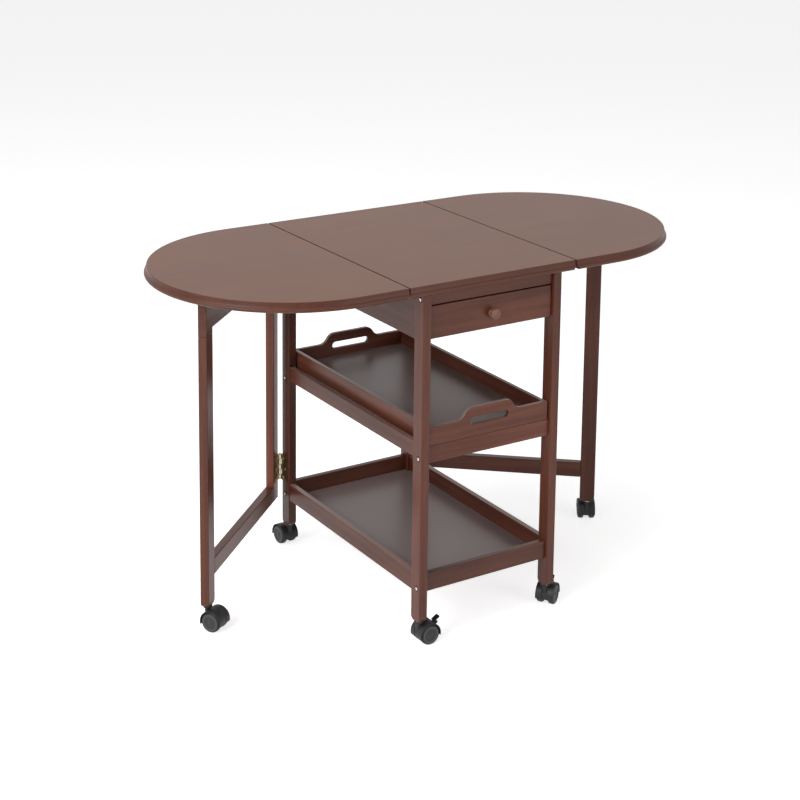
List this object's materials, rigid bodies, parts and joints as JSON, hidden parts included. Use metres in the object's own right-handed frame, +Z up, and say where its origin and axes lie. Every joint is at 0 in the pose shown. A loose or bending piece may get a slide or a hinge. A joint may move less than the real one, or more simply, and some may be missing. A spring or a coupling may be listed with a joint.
{
  "type": "rolling folding table",
  "caption": "Drop-leaf table on casters: a narrow cart with drawer, serving tray and shelf, and round-ended leaves that rest on swing-out gates.",
  "frame": {"origin": "on the floor, under the middle of the tabletop", "axes": "+X along the tabletop's length, +Y from the drawer side to the rear, +Z up"},
  "size_m": [1.12, 0.5688, 0.705],
  "materials": {
    "top_board": "satin brown-grey laminate with a red-brown edge",
    "frame_wood": "satin red-brown stain",
    "inner_wood": "plain unstained board",
    "panel": "smooth dark taupe panel",
    "brass_hinge": "pale brushed brass",
    "brass_screw": "polished brass",
    "caster_plastic": "black moulded nylon",
    "caster_wheel": "dark grey nylon",
    "caster_lever": "black moulded nylon"
  },
  "bodies": {
    "cart": {"post_front_left": "frame_wood", "post_front_right": "frame_wood", "post_rear_left": "frame_wood", "post_rear_right": "frame_wood", "side_apron_left": "frame_wood", "side_apron_right": "frame_wood", "rear_apron": "frame_wood", "front_top_rail": "frame_wood", "tray_side_rail_left": "frame_wood", "tray_side_rail_right": "frame_wood", "tray_cross_rails": "frame_wood", "shelf_side_rail_left": "frame_wood", "shelf_side_rail_right": "frame_wood", "shelf_cross_rails": "frame_wood", "top_centre_board": "top_board", "drawer_runners": "inner_wood", "top_hinge_fixed_halves": "brass_hinge", "post_hinge_fixed_halves": "brass_hinge", "frame_screws": "brass_screw", "shelf_panel": "panel"},
    "leaf_left": {"leaf_left_board": "top_board", "leaf_left_hinge_halves": "brass_hinge"},
    "leaf_right": {"leaf_right_board": "top_board", "leaf_right_hinge_halves": "brass_hinge"},
    "drawer": {"drawer_front": "frame_wood", "drawer_box": "inner_wood", "drawer_bottom": "inner_wood", "drawer_knob": "frame_wood"},
    "tray": {"tray_end_front": "frame_wood", "tray_end_rear": "frame_wood", "tray_sides": "frame_wood", "tray_bottom": "panel"},
    "gate_left": {"gate_left_upright": "frame_wood", "gate_left_leg": "frame_wood", "gate_left_top_rail": "frame_wood", "gate_left_stretcher": "frame_wood", "gate_left_hinge_halves": "brass_hinge"},
    "gate_right": {"gate_right_upright": "frame_wood", "gate_right_leg": "frame_wood", "gate_right_top_rail": "frame_wood", "gate_right_stretcher": "frame_wood", "gate_right_hinge_halves": "brass_hinge"},
    "front_left_caster": {"front_left_caster_housing": "caster_plastic"},
    "front_left_wheels": {"front_left_caster_wheels": "caster_wheel"},
    "front_left_brake": {"front_left_caster_brake": "caster_lever"},
    "front_right_caster": {"front_right_caster_housing": "caster_plastic"},
    "front_right_wheels": {"front_right_caster_wheels": "caster_wheel"},
    "front_right_brake": {"front_right_caster_brake": "caster_lever"},
    "rear_left_caster": {"rear_left_caster_housing": "caster_plastic"},
    "rear_left_wheels": {"rear_left_caster_wheels": "caster_wheel"},
    "rear_right_caster": {"rear_right_caster_housing": "caster_plastic"},
    "rear_right_wheels": {"rear_right_caster_wheels": "caster_wheel"},
    "gate_left_caster": {"gate_left_caster_housing": "caster_plastic"},
    "gate_left_wheels": {"gate_left_caster_wheels": "caster_wheel"},
    "gate_right_caster": {"gate_right_caster_housing": "caster_plastic"},
    "gate_right_wheels": {"gate_right_caster_wheels": "caster_wheel"}
  },
  "joints": [
    {"name": "leaf_left_lift", "type": "hinge", "parent": "cart", "child": "leaf_left", "pos_m": [-0.1885, 0, 0.686], "axis": [0, 1, 0], "range_deg": [0, 7]},
    {"name": "leaf_right_lift", "type": "hinge", "parent": "cart", "child": "leaf_right", "pos_m": [0.1885, 0, 0.686], "axis": [0, -1, 0], "range_deg": [0, 7]},
    {"name": "gate_left_swing", "type": "hinge", "parent": "cart", "child": "gate_left", "pos_m": [-0.161, 0.271, 0.377], "axis": [0, 0, -1], "range_deg": [-47, 43]},
    {"name": "gate_right_swing", "type": "hinge", "parent": "cart", "child": "gate_right", "pos_m": [0.161, 0.271, 0.377], "axis": [0, 0, 1], "range_deg": [-49.5, 40.5]},
    {"name": "drawer_slide", "type": "slide", "parent": "cart", "child": "drawer", "axis": [0, -1, 0], "range_m": [0, 0.3]},
    {"name": "tray_slide", "type": "slide", "parent": "cart", "child": "tray", "axis": [0, -1, 0], "range_m": [0, 0.54]},
    {"name": "front_left_swivel", "type": "hinge", "parent": "cart", "child": "front_left_caster", "pos_m": [-0.1485, -0.2528, 0.047], "axis": [0, 0, 1], "continuous": true},
    {"name": "front_left_roll", "type": "hinge", "parent": "front_left_caster", "child": "front_left_wheels", "pos_m": [-0.1325, -0.2528, 0.02], "axis": [0, 1, 0], "continuous": true},
    {"name": "front_left_brake_press", "type": "hinge", "parent": "front_left_caster", "child": "front_left_brake", "pos_m": [-0.1117, -0.2528, 0.03625], "axis": [0, 1, 0], "range_deg": [0, 18]},
    {"name": "front_right_swivel", "type": "hinge", "parent": "cart", "child": "front_right_caster", "pos_m": [0.1485, -0.2528, 0.047], "axis": [0, 0, 1], "continuous": true},
    {"name": "front_right_roll", "type": "hinge", "parent": "front_right_caster", "child": "front_right_wheels", "pos_m": [0.16176, -0.24385, 0.02], "axis": [-0.5592, 0.829, 0], "continuous": true},
    {"name": "front_right_brake_press", "type": "hinge", "parent": "front_right_caster", "child": "front_right_brake", "pos_m": [0.17901, -0.23222, 0.03625], "axis": [-0.5592, 0.829, 0], "range_deg": [0, 18]},
    {"name": "rear_left_swivel", "type": "hinge", "parent": "cart", "child": "rear_left_caster", "pos_m": [-0.1485, 0.2528, 0.047], "axis": [0, 0, 1], "continuous": true},
    {"name": "rear_left_roll", "type": "hinge", "parent": "rear_left_caster", "child": "rear_left_wheels", "pos_m": [-0.14989, 0.26874, 0.02], "axis": [-0.9962, -0.0872, 0], "continuous": true},
    {"name": "rear_right_swivel", "type": "hinge", "parent": "cart", "child": "rear_right_caster", "pos_m": [0.1485, 0.2528, 0.047], "axis": [0, 0, 1], "continuous": true},
    {"name": "rear_right_roll", "type": "hinge", "parent": "rear_right_caster", "child": "rear_right_wheels", "pos_m": [0.16354, 0.25827, 0.02], "axis": [-0.342, 0.9397, 0], "continuous": true},
    {"name": "gate_left_swivel", "type": "hinge", "parent": "gate_left", "child": "gate_left_caster", "pos_m": [-0.4597, 0.00921, 0.047], "axis": [0, 0, 1], "continuous": true},
    {"name": "gate_left_roll", "type": "hinge", "parent": "gate_left_caster", "child": "gate_left_wheels", "pos_m": [-0.45146, -0.00451, 0.02], "axis": [0.8572, 0.515, 0], "continuous": true},
    {"name": "gate_right_swivel", "type": "hinge", "parent": "gate_right", "child": "gate_right_caster", "pos_m": [0.47084, 0.02248, 0.047], "axis": [0, 0, 1], "continuous": true},
    {"name": "gate_right_roll", "type": "hinge", "parent": "gate_right_caster", "child": "gate_right_wheels", "pos_m": [0.47932, 0.03605, 0.02], "axis": [-0.848, 0.5299, 0], "continuous": true}
  ]
}
